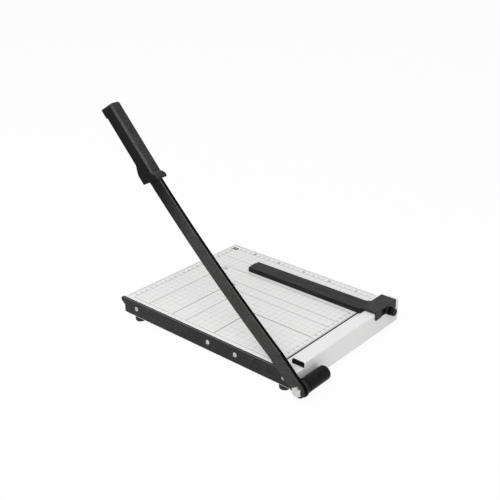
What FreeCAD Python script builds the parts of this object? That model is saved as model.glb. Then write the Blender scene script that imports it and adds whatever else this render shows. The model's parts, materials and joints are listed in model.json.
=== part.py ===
"""Guillotine paper cutter with a bowed lever arm, a fixed blade and a sliding T gauge.

Every body is drawn about the cutting datum: x = 0 at the middle of the bed, y = 0 at the front face of the
bed (where the fixed blade is bolted on), z = 0 at the paper surface. One shift then puts the whole cutter on
the table, with its origin under the middle of its footprint. Lengths are millimetres, angles are degrees.
"""
import FreeCAD, Part
import math
import os

import Sketcher

# Driving sizes: alias, value, what it is
SIZES = [
    # bed
    ("bed_length", 322.0, "bed, along the cut"),
    ("bed_width", 248.0, "bed, away from the cut"),
    ("skirt_height", 26.7, "paper surface to the lower edge of the skirt"),
    ("sheet_thickness", 1.2, "bed sheet steel"),
    ("bed_corner_radius", 3.0, "upright corners of the bed"),
    ("bed_edge_radius", 1.5, "bend along the top edges"),
    ("flange_width", 16.0, "return flange under the skirt, from the outer face"),
    ("ridge_width", 18.9, "paper fence, across"),
    ("ridge_height", 7.05, "paper fence above the paper surface"),
    ("ridge_setback", 19.0, "bed front to the open end of the ridge"),
    ("ridge_bend_radius", 1.8, "long top edges of the ridge"),
    # ridge end plugs
    ("plug_flange", 1.5, "plug head thickness"),
    ("plug_depth", 12.0, "plug body inside the ridge"),
    ("plug_wall", 1.6, "plug body wall"),
    ("plug_clearance", 0.15, "plug body to ridge"),
    # fixed blade
    ("rail_thickness", 3.0, "fixed blade plate"),
    ("rail_height", 23.5, "fixed blade plate, upright"),
    ("rail_end_inset", 2.5, "left end of the plate inside the bed's end"),
    ("nose_reach", 5.0, "nose beyond the bed's end"),
    ("nose_radius", 4.6, "rounding of the nose"),
    ("nose_depth", 8.2, "underside of the nose below the paper surface"),
    ("nose_root_depth", 12.2, "where the nose meets the plate's end"),
    ("rail_end_radius", 11.8, "round end about the pivot"),
    ("rail_lower_angle", 20.0, "where the lower edge meets the round end, from straight down"),
    ("rail_upper_angle", 62.0, "where the upper edge meets the round end, from level"),
    ("edge_bevel", 0.3, "honed land on the fixed blade's cutting edge"),
    ("screw_drop", 11.8, "rail screws below the paper surface"),
    ("screw_place_1", 27.0, "first rail screw from the bed's left end"),
    ("screw_place_2", 171.5, "second rail screw"),
    ("screw_place_3", 221.5, "third rail screw"),
    ("screw_inset_right", 17.0, "fourth rail screw from the bed's right end"),
    ("screw_radius", 2.0, "rail screw shank"),
    ("screw_head_radius", 3.2, "rail screw head"),
    ("screw_sink", 0.8, "rail screw head below the plate's face"),
    ("screw_length", 10.0, "rail screw, whole"),
    ("screw_clearance", 0.15, "rail screw in the plate's holes"),
    ("skirt_hole_radius", 2.65, "rail screw holes in the skirt, wide enough to line up the plate"),
    ("seat_clearance", 0.03, "countersunk head to its seat"),
    ("screw_cross_length", 3.4, "cross recess, arm to arm"),
    ("screw_cross_width", 0.8, "cross recess, one arm"),
    ("screw_cross_depth", 0.8, "cross recess depth"),
    ("rail_nut_flats", 7.0, "rail nut across flats"),
    ("rail_nut_height", 3.2, "rail nut height"),
    # feet
    ("foot_inset_x", 23.0, "foot centre from the bed's ends"),
    ("foot_inset_y", 8.5, "foot centre from the bed's long edges"),
    ("foot_top_radius", 8.0, "foot at the flange"),
    ("foot_bottom_radius", 7.4, "foot at the table"),
    ("foot_height", 8.8, "foot height"),
    ("foot_edge_radius", 1.2, "rounded lower rim of the foot"),
    ("foot_recess_radius", 4.7, "recess for the screw head"),
    ("foot_recess_depth", 4.6, "recess depth"),
    ("foot_screw_radius", 2.0, "foot screw shank"),
    ("foot_screw_head_radius", 3.9, "foot screw head"),
    ("foot_screw_head_height", 2.4, "foot screw head height"),
    ("foot_screw_clearance", 0.15, "foot screw in its holes"),
    ("foot_screw_end", 1.0, "foot screw beyond its nut"),
    ("foot_nut_flats", 7.0, "foot nut across flats"),
    ("foot_nut_height", 3.2, "foot nut height"),
    # pivot
    ("pivot_overhang", 11.3, "pivot beyond the bed's right end"),
    ("pivot_drop", 16.8, "pivot below the paper surface"),
    ("bolt_radius", 4.0, "pivot bolt shank"),
    ("bolt_head_flats", 13.0, "pivot bolt head across flats"),
    ("bolt_head_height", 4.6, "pivot bolt head"),
    ("bolt_crown_radius", 6.24, "flat inside the crown of the bolt head"),
    ("bolt_crown_angle", 30.0, "slope of the crown"),
    ("bolt_end", 2.0, "pivot bolt beyond its nut"),
    ("bore_clearance", 0.05, "pivot bolt in its bores, radial"),
    ("sliding_gap", 0.1, "gap between faces that slide on each other"),
    ("bush_radius", 9.6, "collar behind the fixed blade"),
    ("bush_length", 7.0, "collar, without its spigot"),
    ("bush_spigot_radius", 7.6, "spigot that centres the spring cover"),
    ("bush_spigot_length", 4.0, "spigot length"),
    ("spring_mean_radius", 5.9, "pressure spring, wire centre"),
    ("spring_wire_radius", 0.8, "pressure spring wire"),
    ("spring_length", 21.0, "pressure spring as fitted"),
    ("spring_turns", 5.0, "pressure spring turns"),
    ("washer_radius", 7.9, "thrust washer"),
    ("washer_thickness", 1.6, "thrust washer"),
    ("lock_nut_flats", 13.0, "lock nut across flats"),
    ("lock_nut_height", 6.5, "lock nut height"),
    ("cover_radius", 10.3, "spring cover outside"),
    ("cover_wall", 1.7, "spring cover wall"),
    ("cover_length", 43.0, "spring cover"),
    ("cover_end_radius", 3.2, "spring cover rounded end"),
    ("cover_clearance", 0.2, "spring cover on its spigot"),
    # arm, drawn from the pivot: along = from pivot to handle, up = across the arm
    ("rest_angle", 42.0, "arm above the horizontal as it rests"),
    ("closed_angle", 2.5, "arm above the horizontal when shut"),
    ("arm_thickness", 5.0, "arm plate"),
    ("arm_width", 21.4, "arm plate, across"),
    ("arm_end_radius", 10.6, "round end about the pivot"),
    ("bow_start", 50.0, "where the bow begins, along from the pivot"),
    ("bow_middle", 200.0, "lowest point of the bow, along from the pivot"),
    ("bow_depth", 3.8, "bow's lowest centre point below the pivot line"),
    ("bow_radius", 2431.0, "centre line of the bow"),
    ("shoulder_place", 346.0, "where the plate narrows to its tang"),
    ("edge_grind", 0.9, "ground strip along the moving blade's edge, upright"),
    ("edge_grind_run", 3.0, "the same across the plate's thickness"),
    ("arm_bevel", 1.0, "bevel on the arm's upper outer edge"),
    # handle, drawn on its own axis from the guard towards the tip
    ("handle_start", 336.3, "handle axis start, along from the pivot"),
    ("handle_rise", 0.1, "handle axis start above the pivot line"),
    ("handle_tilt", 4.7, "handle axis against the pivot line"),
    ("handle_length", 118.2, "handle axis to the tip's lower corner"),
    ("tip_slant", 5.5, "tip's upper corner back from its lower corner"),
    ("tip_radius", 2.0, "rounded edges of the tip"),
    ("grip_height", 23.1, "grip, across in the arm's plane"),
    ("grip_thickness", 18.0, "grip, square to the arm's plane"),
    ("grip_radius", 4.6, "long edges of the grip"),
    ("pommel_step", 2.1, "pommel below the grip"),
    ("pommel_length", 15.0, "pommel from the tip"),
    ("pommel_slope", 1.5, "run from the grip down to the pommel"),
    ("guard_drop", 6.6, "finger guard below the grip"),
    ("guard_length", 14.0, "finger guard, full depth"),
    ("guard_ease_run", 4.5, "eased end of the guard, along"),
    ("guard_ease_rise", 1.6, "eased end of the guard, up"),
    ("guard_slope", 8.7, "finger guard, run back to the grip"),
    ("guard_corner", 2.0, "cut corner at the guard's foot"),
    ("lip_rise", 3.15, "thumb lip above the grip"),
    ("lip_reach", 8.2, "thumb lip towards the pivot"),
    ("lip_slope", 4.0, "thumb lip, run back to the grip"),
    ("lip_corner", 2.0, "cut corner at the lip's end"),
    ("lip_crest", 0.5, "thumb lip's crest on the handle axis"),
    ("guard_rake", 0.2, "guard's face ahead of the handle axis start"),
    ("tang_width", 13.0, "tang inside the grip"),
    ("tang_start", 4.0, "tang's root on the handle axis"),
    ("tang_end", 74.0, "tang end on the handle axis"),
    ("tang_clearance", 0.12, "tang in its slot"),
    ("nose_gap", 0.5, "guard to the fixed blade's nose when shut"),
    # gauge
    ("gauge_back_inset", 13.0, "gauge head from the bed's rear edge"),
    ("gauge_lift", 0.25, "gauge above the paper surface"),
    ("gauge_bar_reach", 217.0, "bar's free end from the ridge"),
    ("gauge_bar_width", 27.5, "bar at the head, along the ridge"),
    ("gauge_bar_taper", 2.7, "how much narrower the bar is at its free end"),
    ("gauge_bar_height", 8.0, "bar top above the paper surface"),
    ("gauge_bar_end_bow", 1.6, "bulge of the bar's free end"),
    ("gauge_head_length", 52.0, "head, along the ridge"),
    ("gauge_head_height", 12.0, "head top above the paper surface"),
    ("gauge_wall", 3.4, "inner wall of the head, at its top"),
    ("gauge_outer_wall", 2.2, "outer wall of the head"),
    ("gauge_notch_width", 6.0, "open corner between the bar's foot and the ridge"),
    ("gauge_notch_length", 14.0, "open corner, along the ridge"),
    ("gauge_lug_depth", 1.5, "outer wall below the paper surface"),
    ("gauge_clearance", 0.25, "head to the ridge's sides"),
    ("gauge_headroom", 1.5, "head to the ridge's top"),
    ("gauge_fillet", 8.0, "corner between bar and head"),
    ("gauge_edge_ease", 0.8, "bevel round the gauge's top edges"),
    ("gauge_shell", 2.2, "moulded wall of the bar"),
    ("gauge_recess_start", 14.0, "outer wall recess, from the front face"),
    ("gauge_recess_length", 13.5, "outer wall recess"),
    ("gauge_recess_depth", 1.3, "outer wall recess"),
    ("rib_count", 5, "ribs under the bar"),
    ("rib_thickness", 1.6, "one rib"),
    # clamp
    ("clamp_place", 35.0, "clamp axis from the gauge's front face"),
    ("clamp_height", 0.5, "clamp axis above the paper surface"),
    ("clamp_boss_radius", 6.2, "boss around the clamp axis"),
    ("clamp_boss_reach", 5.5, "boss face from the ridge's outer face"),
    ("clamp_screw_radius", 2.0, "clamp screw"),
    ("clamp_screw_clearance", 0.06, "clamp screw in its insert, radial"),
    ("clamp_pitch", 0.7, "thread pitch of the clamp screw"),
    ("clamp_turns", 1.5, "turns to free the gauge"),
    ("pad_radius", 3.6, "pressure pad"),
    ("pad_thickness", 1.0, "pressure pad"),
    ("pad_gap", 0.2, "pad to ridge, and round the pad"),
    ("insert_radius", 3.4, "threaded insert"),
    ("insert_length", 2.6, "threaded insert"),
    ("knob_radius", 5.8, "clamp knob"),
    ("knob_thickness", 6.0, "clamp knob"),
    ("knob_hub_length", 0.5, "gap between boss and knob"),
    ("knob_flutes", 14, "flutes round the knob"),
    ("knob_flute_radius", 0.75, "one flute"),
    ("knob_flute_offset", 0.26, "flute's centre outside the knob"),
    ("knob_edge", 0.8, "bevels of the knob"),
    ("knob_dish_radius", 3.4, "dished end of the knob"),
    ("knob_dish_depth", 1.0, "dished end of the knob"),
]

doc = FreeCAD.newDocument("paper_cutter")
sheet = doc.addObject("Spreadsheet::Sheet", "sizes")


class Size:
    """A length or angle with its present value and the expression that FreeCAD keeps for it."""

    def __init__(self, text, value):
        self.text = text
        self.value = float(value)

    @staticmethod
    def of(thing):
        return thing if isinstance(thing, Size) else Size(repr(float(thing)), thing)

    def _join(self, sign, other, value):
        return Size(f"({self.text} {sign} {other.text})", value)

    def __add__(self, other):
        other = Size.of(other)
        return self._join("+", other, self.value + other.value)

    def __sub__(self, other):
        other = Size.of(other)
        return self._join("-", other, self.value - other.value)

    def __mul__(self, other):
        other = Size.of(other)
        return self._join("*", other, self.value * other.value)

    def __truediv__(self, other):
        other = Size.of(other)
        return self._join("/", other, self.value / other.value)

    def __neg__(self):
        return Size(f"(0 - {self.text})", -self.value)


def sine(angle):
    return Size(f"sin({angle.text} * 1 deg)", math.sin(math.radians(angle.value)))


def cosine(angle):
    return Size(f"cos({angle.text} * 1 deg)", math.cos(math.radians(angle.value)))


def root(number):
    return Size(f"sqrt({number.text})", math.sqrt(number.value))


def fill_sheet():
    """Writes the driving sizes into the spreadsheet and gives them back by name."""
    named = {}
    for row, (alias, value, meaning) in enumerate(SIZES, start=1):
        sheet.set(f"A{row}", meaning)
        sheet.set(f"B{row}", str(value))
        sheet.setAlias(f"B{row}", alias)
        named[alias] = Size(f"sizes.{alias}", value)
    doc.recompute()
    return named


class Names:
    """The driving sizes as attributes, so that a size reads as k.bed_length."""

    def __init__(self, named):
        self.__dict__.update(named)


k = Names(fill_sheet())

# Places that several pieces share
bed_left = -(k.bed_length / 2)
bed_right = k.bed_length / 2
ridge_foot = bed_right - k.ridge_width
pivot_x = bed_right + k.pivot_overhang
pivot_z = -k.pivot_drop
nose_tip = bed_left - k.nose_reach
arm_inner_y = -(k.rail_thickness + k.sliding_gap)
arm_middle_y = arm_inner_y - k.arm_thickness / 2
arm_outer_y = arm_inner_y - k.arm_thickness

# Where the datum lies against the cutter's own origin, which is under the middle of its footprint
footprint_right = pivot_x + k.rail_end_radius
footprint_front = arm_middle_y - k.grip_thickness / 2
footprint_back = k.bed_width
datum_x = -((nose_tip + footprint_right) / 2)
datum_y = -((footprint_front + footprint_back) / 2)
datum_z = k.skirt_height + k.foot_height

parts = []


def finish(part):
    """Lists an object as one of the cutter's pieces."""
    parts.append(part)
    return part


def place(part, x=0, y=0, z=0, rotation=None):
    """Puts a piece at a point of the datum frame, bound to the sheet."""
    if rotation is not None:
        part.Placement = FreeCAD.Placement(FreeCAD.Vector(), rotation)
    for axis, datum, offset in (("x", datum_x, x), ("y", datum_y, y), ("z", datum_z, z)):
        part.setExpression(f"Placement.Base.{axis}", (datum + offset).text)


# Rotations from a body's own frame to the cutter's
Z_TO_BACK = FreeCAD.Rotation(FreeCAD.Vector(1, 0, 0), -90)
Z_TO_RIGHT = FreeCAD.Rotation(FreeCAD.Vector(0, 1, 0), 90)
ARM_LYING = FreeCAD.Rotation(FreeCAD.Vector(0, 1, 1), 180)
ARM_RAISED = ARM_LYING.multiply(FreeCAD.Rotation(FreeCAD.Vector(0, 0, 1), k.rest_angle.value))


def new_body(label):
    body = doc.addObject("PartDesign::Body", label)
    body.Label = label
    return body


def new_sketch(body, plane, name, offset=None):
    """A sketch on one of the body's own origin planes, moved along the plane's normal by offset."""
    sketch = body.newObject("Sketcher::SketchObject", name)
    support = next(f for f in body.Origin.OriginFeatures if f.Role == plane)
    sketch.AttachmentSupport = [(support, "")]
    sketch.MapMode = "FlatFace"
    if offset is not None:
        sketch.setExpression("AttachmentOffset.Base.z", offset.text)
    return sketch


def pin(sketch, kind, expression, *where):
    """Adds one dimension and binds it to the sheet."""
    index = sketch.addConstraint(Sketcher.Constraint(kind, *where, expression.value))
    sketch.setExpression(f"Constraints[{index}]", expression.text)


def pin_point(sketch, geometry, position, across, up):
    """Dimensions a point from the sketch's origin. A point on an axis is tied to that axis."""
    for kind, expression, axis in (("DistanceX", across, -2), ("DistanceY", up, -1)):
        expression = Size.of(expression)
        if expression.value == 0:
            sketch.addConstraint(Sketcher.Constraint("PointOnObject", geometry, position, axis))
        else:
            pin(sketch, kind, expression, -1, 1, geometry, position)


def draw_circle(sketch, across, up, radius):
    across, up, radius = Size.of(across), Size.of(up), Size.of(radius)
    centre = FreeCAD.Vector(across.value, up.value, 0)
    index = sketch.addGeometry(Part.Circle(centre, FreeCAD.Vector(0, 0, 1), radius.value))
    pin(sketch, "Radius", radius, index)
    pin_point(sketch, index, 3, across, up)


def arc_between(start, end, radius, turns_left):
    """The shorter arc from start to end, as geometry that always runs anticlockwise."""
    chord = end - start
    half = chord.Length / 2
    side = FreeCAD.Vector(-chord.y, chord.x, 0).normalize()
    if not turns_left:
        side = side * -1
    centre = start + chord * 0.5 + side * math.sqrt(max(radius * radius - half * half, 0.0))
    first, last = (start, end) if turns_left else (end, start)
    angles = [math.atan2(p.y - centre.y, p.x - centre.x) for p in (first, last)]
    if angles[1] <= angles[0]:
        angles[1] += 2 * math.pi
    circle = Part.Circle(centre, FreeCAD.Vector(0, 0, 1), radius)
    return Part.ArcOfCircle(circle, angles[0], angles[1])


def draw_outline(sketch, corners):
    """Draws a closed outline through corners, anticlockwise or clockwise.

    A corner is (across, up) after a straight run, or (across, up, radius, "left" or "right") after an arc
    that bends that way.
    """
    places = [(Size.of(c[0]), Size.of(c[1])) for c in corners]
    points = [FreeCAD.Vector(a.value, u.value, 0) for a, u in places]
    ends = []
    for i, corner in enumerate(corners):
        start, end = points[i - 1], points[i]
        if len(corner) == 2:
            index = sketch.addGeometry(Part.LineSegment(start, end))
            ends.append((index, 1, 2))
            continue
        radius, bend = Size.of(corner[2]), corner[3]
        index = sketch.addGeometry(arc_between(start, end, radius.value, bend == "left"))
        ends.append((index, 1, 2) if bend == "left" else (index, 2, 1))
        pin(sketch, "Radius", radius, index)
    for i, (index, _, last) in enumerate(ends):
        following, first, _ = ends[(i + 1) % len(ends)]
        sketch.addConstraint(Sketcher.Constraint("Coincident", index, last, following, first))
        pin_point(sketch, index, last, *places[i])


def draw_rectangle(sketch, left, low, right, high):
    draw_outline(sketch, [(right, low), (right, high), (left, high), (left, low)])


def draw_rounded_rectangle(sketch, left, low, right, high, radius):
    left, low, right, high = (Size.of(v) for v in (left, low, right, high))
    r = Size.of(radius)
    draw_outline(sketch, [
        (right - r, low), (right, low + r, r, "left"),
        (right, high - r), (right - r, high, r, "left"),
        (left + r, high), (left, high - r, r, "left"),
        (left, low + r), (left + r, low, r, "left"),
    ])


def draw_hexagon(sketch, flats):
    """A hexagon about the sketch's origin with two flats upright."""
    half = flats / 2
    corner = flats / math.sqrt(3)
    draw_outline(sketch, [
        (half, -(corner / 2)), (half, corner / 2), (0, corner),
        (-half, corner / 2), (-half, -(corner / 2)), (0, -corner),
    ])


def pad(body, sketch, length, name, reversed_side=False, symmetric=False):
    feature = body.newObject("PartDesign::Pad", name)
    feature.Profile = sketch
    feature.setExpression("Length", Size.of(length).text)
    feature.Reversed = reversed_side
    if symmetric:
        feature.SideType = "Symmetric"
    return feature


def pocket(body, sketch, length, name, reversed_side=False, symmetric=False):
    """Cuts a sketch out of the body, along the side that reversed_side chooses."""
    feature = body.newObject("PartDesign::Pocket", name)
    feature.Profile = sketch
    feature.setExpression("Length", Size.of(length).text)
    feature.Reversed = reversed_side
    if symmetric:
        feature.SideType = "Symmetric"
    return feature


def revolve(body, sketch, name):
    """Turns a half profile about the sketch's upright axis."""
    feature = body.newObject("PartDesign::Revolution", name)
    feature.Profile = sketch
    feature.ReferenceAxis = (sketch, ["V_Axis"])
    feature.Angle = 360
    return feature


def edges_where(feature, test):
    """The names of a feature's edges whose ends and middle all pass a test."""
    doc.recompute()
    names = []
    for number, edge in enumerate(feature.Shape.Edges, start=1):
        middle = edge.valueAt((edge.FirstParameter + edge.LastParameter) / 2)
        if all(test(p) for p in [v.Point for v in edge.Vertexes] + [middle]):
            names.append(f"Edge{number}")
    return names


def fillet(body, feature, test, radius, name):
    """Rounds the edges that pass a test."""
    rounding = body.newObject("PartDesign::Fillet", name)
    rounding.Base = (feature, edges_where(feature, test))
    rounding.setExpression("Radius", Size.of(radius).text)
    return rounding


def chamfer(body, feature, test, size, name):
    bevel = body.newObject("PartDesign::Chamfer", name)
    bevel.Base = (feature, edges_where(feature, test))
    bevel.setExpression("Size", Size.of(size).text)
    return bevel


def near(a, b):
    return abs(a - b) < 1e-4


def group_of_copies(label, master, places_of_copies):
    """One node that holds identical pieces as separate solids, copied from a master body."""
    doc.recompute()
    copies = []
    for x, y, z in places_of_copies:
        offset = [Size.of(v).value for v in (x, y, z)]
        copy = master.Shape.copy()
        copy.translate(FreeCAD.Vector(*offset))
        copies.append(copy)
    group = doc.addObject("Part::Feature", label)
    group.Label = label
    group.Shape = Part.makeCompound(copies)
    place(group)
    return finish(group)


# ---------------------------------------------------------------- bed


def foot_places():
    """The four feet by name, with their centres in the datum frame."""
    left, right = bed_left + k.foot_inset_x, bed_right - k.foot_inset_x
    front, rear = k.foot_inset_y, k.bed_width - k.foot_inset_y
    return {
        "front_left": (left, front), "front_right": (right, front),
        "rear_left": (left, rear), "rear_right": (right, rear),
    }


def screw_places():
    """How far right of the middle each rail screw is."""
    from_left = [bed_left + place for place in (k.screw_place_1, k.screw_place_2, k.screw_place_3)]
    return from_left + [bed_right - k.screw_inset_right]


def make_base_board():
    """Sheet-steel tray: top, four skirts, a return flange, and the hollow ridge that fences the paper."""
    body = new_body("base_board")
    wall = k.sheet_thickness

    plan = new_sketch(body, "XY_Plane", "bed_plan")
    draw_rounded_rectangle(plan, bed_left, 0, bed_right, k.bed_width, k.bed_corner_radius)
    block = pad(body, plan, k.skirt_height, "bed_block", reversed_side=True)

    ridge_plan = new_sketch(body, "XY_Plane", "ridge_plan")
    draw_outline(ridge_plan, [
        (bed_right, k.ridge_setback),
        (bed_right, k.bed_width - k.bed_corner_radius),
        (bed_right - k.bed_corner_radius, k.bed_width, k.bed_corner_radius, "left"),
        (ridge_foot, k.bed_width),
        (ridge_foot, k.ridge_setback),
    ])
    ridge = pad(body, ridge_plan, k.ridge_height, "ridge_block")

    top = k.ridge_height.value
    foot, right = ridge_foot.value, bed_right.value
    front, back = k.ridge_setback.value, k.bed_width.value

    def ridge_long_edges(p):
        return near(p.z, top) and (near(p.x, foot) or near(p.x, right)) and p.y > front - 1e-3

    rounded_ridge = fillet(body, ridge, ridge_long_edges, k.ridge_bend_radius, "ridge_bends")

    def bed_top_edges(p):
        on_edge = near(p.y, 0) or near(p.x, bed_left.value) or near(p.y, back)
        return near(p.z, 0) and on_edge and p.x < foot - 1e-3

    fillet(body, rounded_ridge, bed_top_edges, k.bed_edge_radius, "bed_bends")

    hollow = new_sketch(body, "XY_Plane", "hollow_plan", -wall)
    inner_radius = k.bed_corner_radius - wall
    draw_rounded_rectangle(
        hollow, bed_left + wall, wall, bed_right - wall, k.bed_width - wall, inner_radius)
    pocket(body, hollow, k.skirt_height, "hollow_underside")

    channel = new_sketch(body, "XY_Plane", "channel_plan", -wall - wall)
    draw_rectangle(channel, ridge_foot + wall, k.ridge_setback, bed_right - wall, k.bed_width - wall)
    pocket(body, channel, k.ridge_height + wall, "ridge_channel", reversed_side=True)

    rear_end = new_sketch(body, "XY_Plane", "rear_end_plan")
    draw_rectangle(rear_end, ridge_foot + wall, k.bed_width - wall * 2, bed_right - wall, k.bed_width)
    pocket(body, rear_end, k.ridge_height - wall, "ridge_rear_end", reversed_side=True)

    rim = new_sketch(body, "XY_Plane", "flange_plan", -k.skirt_height)
    draw_rounded_rectangle(rim, bed_left + wall, wall, bed_right - wall, k.bed_width - wall, inner_radius)
    draw_rectangle(
        rim, bed_left + k.flange_width, k.flange_width, bed_right - k.flange_width, k.bed_width - k.flange_width)
    pad(body, rim, wall, "return_flange")

    feet = new_sketch(body, "XY_Plane", "foot_holes", -k.skirt_height)
    for x, y in foot_places().values():
        draw_circle(feet, x, y, k.foot_screw_radius + k.foot_screw_clearance)
    pocket(body, feet, wall, "foot_screw_holes", reversed_side=True)

    skirt = new_sketch(body, "XZ_Plane", "rail_holes")
    for x in screw_places():
        draw_circle(skirt, x, -k.screw_drop, k.skirt_hole_radius)
    pocket(body, skirt, wall, "rail_screw_holes")
    place(body)
    return finish(body)


def make_front_plug():
    """Moulded plug: a flat head over the ridge's open front end and a hollow body inside the channel."""
    body = new_body("ridge_end_plug_front")
    gap = k.plug_clearance
    reach = k.sheet_thickness + gap

    head = new_sketch(body, "XZ_Plane", "head_outline")
    r = k.ridge_bend_radius
    draw_outline(head, [
        (bed_right, 0),
        (bed_right, k.ridge_height - r),
        (bed_right - r, k.ridge_height, r, "left"),
        (ridge_foot + r, k.ridge_height),
        (ridge_foot, k.ridge_height - r, r, "left"),
        (ridge_foot, 0),
    ])
    pad(body, head, k.plug_flange, "head")

    shank = new_sketch(body, "XZ_Plane", "shank_outline")
    draw_rectangle(shank, ridge_foot + reach, gap, bed_right - reach, k.ridge_height - reach)
    draw_rectangle(
        shank, ridge_foot + reach + k.plug_wall, gap + k.plug_wall,
        bed_right - reach - k.plug_wall, k.ridge_height - reach - k.plug_wall)
    pad(body, shank, k.plug_depth, "shank", reversed_side=True)
    place(body, y=k.ridge_setback)
    return finish(body)


def make_rear_plug():
    """Hollow moulded plug that stands on the rear skirt's edge and ends level with the ridge's rear end."""
    body = new_body("ridge_end_plug_rear")
    reach = k.sheet_thickness + k.plug_clearance
    left, right, high = ridge_foot + reach, bed_right - reach, k.ridge_height - reach

    block = new_sketch(body, "XZ_Plane", "block_outline")
    draw_rectangle(block, left, 0, right, high)
    pad(body, block, k.plug_depth, "block")

    hollow = new_sketch(body, "XZ_Plane", "hollow_outline", k.plug_flange)
    wall = k.plug_wall
    draw_rectangle(hollow, left + wall, wall, right - wall, high - wall)
    pocket(body, hollow, k.plug_depth, "hollow_cut", reversed_side=True)
    place(body, y=k.bed_width)
    return finish(body)


# ---------------------------------------------------------------- fixed blade


def make_fixed_blade():
    """Upright steel plate with the ground edge, a nose at the left end and a round end at the pivot."""
    body = new_body("fixed_blade")
    left_end = bed_left + k.rail_end_inset
    low = -k.rail_height
    r = k.rail_end_radius
    nose_r = k.nose_radius

    lower_reach = r * sine(k.rail_lower_angle)
    lower_drop = r * cosine(k.rail_lower_angle)
    upper_reach = r * cosine(k.rail_upper_angle)
    upper_rise = r * sine(k.rail_upper_angle)

    outline = new_sketch(body, "XZ_Plane", "plate_outline")
    draw_outline(outline, [
        (left_end, low),
        (bed_right - k.rail_end_radius / 2, low),
        (pivot_x - lower_reach, pivot_z - lower_drop),
        (pivot_x + r, pivot_z, r, "left"),
        (pivot_x + upper_reach, pivot_z + upper_rise, r, "left"),
        (bed_right, 0),
        (nose_tip + nose_r, 0),
        (nose_tip, -nose_r, nose_r, "left"),
        (nose_tip + nose_r / 2, -k.nose_depth, nose_r, "left"),
        (left_end, -k.nose_root_depth),
    ])
    pad(body, outline, k.rail_thickness, "plate")

    land = new_sketch(body, "YZ_Plane", "ground_land", nose_tip + nose_r)
    face = -k.rail_thickness
    draw_outline(land, [
        (face, -k.edge_bevel),
        (face + k.edge_bevel, 0),
        (face, 0),
    ])
    pocket(body, land, bed_right - nose_tip - nose_r, "ground_land_cut", reversed_side=True)

    bores = new_sketch(body, "XZ_Plane", "bolt_bore")
    draw_circle(bores, pivot_x, pivot_z, k.bolt_radius + k.bore_clearance)
    pocket(body, bores, k.rail_thickness, "pivot_bore", reversed_side=True)

    holes = new_sketch(body, "XZ_Plane", "screw_holes", k.rail_thickness)
    for x in screw_places():
        draw_circle(holes, x, -k.screw_drop, k.screw_radius + k.screw_clearance)
    doc.recompute()
    sinks = body.newObject("PartDesign::Hole", "countersunk_holes")
    sinks.Profile = holes
    sinks.DepthType = "ThroughAll"
    sinks.ThreadType = "None"
    sinks.setExpression("Diameter", ((k.screw_radius + k.screw_clearance) * 2).text)
    sinks.HoleCutType = "Countersink"
    sinks.HoleCutCustomValues = True
    sinks.HoleCutCountersinkAngle = 90
    sinks.setExpression("HoleCutDiameter", ((k.screw_head_radius + k.seat_clearance + k.screw_sink) * 2).text)
    place(body)
    return finish(body)


def make_screw_master():
    """Countersunk cross-head screw, its head's face at z = 0 and its shank along +z."""
    body = new_body("rail_screw_master")
    profile = new_sketch(body, "XZ_Plane", "profile")
    head_depth = k.screw_head_radius - k.screw_radius
    draw_outline(profile, [
        (k.screw_head_radius, 0),
        (k.screw_radius, head_depth),
        (k.screw_radius, k.screw_length),
        (0, k.screw_length),
        (0, 0),
    ])
    revolve(body, profile, "turned_screw")
    for name, across, up in (
        ("cross_a", k.screw_cross_length, k.screw_cross_width),
        ("cross_b", k.screw_cross_width, k.screw_cross_length),
    ):
        slot = new_sketch(body, "XY_Plane", name)
        draw_rectangle(slot, -(across / 2), -(up / 2), across / 2, up / 2)
        pocket(body, slot, k.screw_cross_depth, name + "_cut", reversed_side=True)
    body.Placement = FreeCAD.Placement(FreeCAD.Vector(), Z_TO_BACK)
    return body


def make_nut_master(label, flats, height, bore, rotation=None):
    """Hexagon nut standing on z = 0."""
    body = new_body(label)
    outline = new_sketch(body, "XY_Plane", "hexagon")
    draw_hexagon(outline, flats)
    draw_circle(outline, 0, 0, bore)
    pad(body, outline, height, "blank")
    if rotation is not None:
        body.Placement = FreeCAD.Placement(FreeCAD.Vector(), rotation)
    return body


def make_rail_fasteners():
    screw = make_screw_master()
    group_of_copies(
        "rail_screws", screw,
        [(x, k.screw_sink - k.rail_thickness, -k.screw_drop) for x in screw_places()])
    nut = make_nut_master(
        "rail_nut_master", k.rail_nut_flats, k.rail_nut_height,
        k.screw_radius + k.screw_clearance, Z_TO_BACK)
    group_of_copies(
        "rail_nuts", nut, [(x, k.sheet_thickness, -k.screw_drop) for x in screw_places()])


# ---------------------------------------------------------------- feet


def make_foot(name, x, y):
    """Rubber foot with a recess for its screw, hanging from z = 0."""
    body = new_body("rubber_foot_" + name)
    bore = k.foot_screw_radius + k.foot_screw_clearance
    rim = k.foot_edge_radius
    profile = new_sketch(body, "XZ_Plane", "profile")
    draw_outline(profile, [
        (bore, 0),
        (bore, -(k.foot_height - k.foot_recess_depth)),
        (k.foot_recess_radius, -(k.foot_height - k.foot_recess_depth)),
        (k.foot_recess_radius, -k.foot_height),
        (k.foot_bottom_radius - rim, -k.foot_height),
        (k.foot_bottom_radius, rim - k.foot_height, rim, "left"),
        (k.foot_top_radius, 0),
    ])
    revolve(body, profile, "moulded_foot")
    place(body, x, y, -k.skirt_height)
    return finish(body)


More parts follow.
